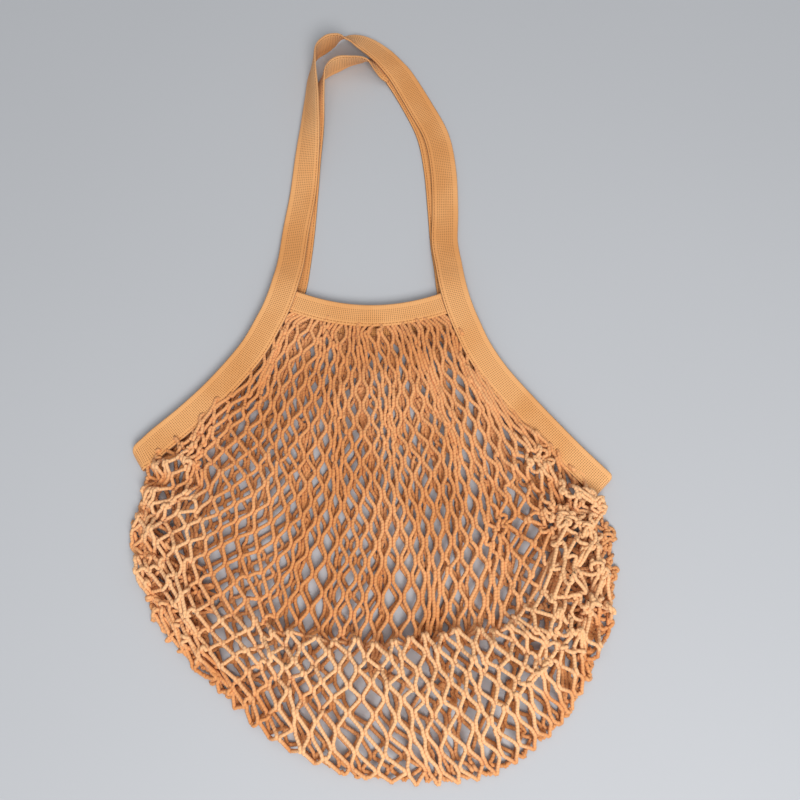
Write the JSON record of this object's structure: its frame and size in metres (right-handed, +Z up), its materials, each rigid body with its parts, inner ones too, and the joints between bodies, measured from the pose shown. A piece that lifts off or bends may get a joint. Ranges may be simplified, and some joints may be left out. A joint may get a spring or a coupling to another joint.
{
  "type": "net shopping bag",
  "caption": "Cotton net shopping bag with long woven tape handles, lying flat, its front net heaped along the sides and bottom.",
  "frame": {"origin": "on the floor under the middle of the bag's box", "axes": "+X to the right with the handles pointing away, +Y towards the handles, +Z up from the floor"},
  "size_m": [0.4062, 0.6771, 0.0256],
  "materials": {
    "net": "matt twisted cotton yarn",
    "tape": "matt woven cotton tape"
  },
  "bodies": {
    "root": {"net_front": "net", "net_back": "net", "mouth_band_front": "tape", "mouth_band_back": "tape", "handle_tape_front": "tape", "handle_tape_back": "tape"}
  },
  "joints": []
}
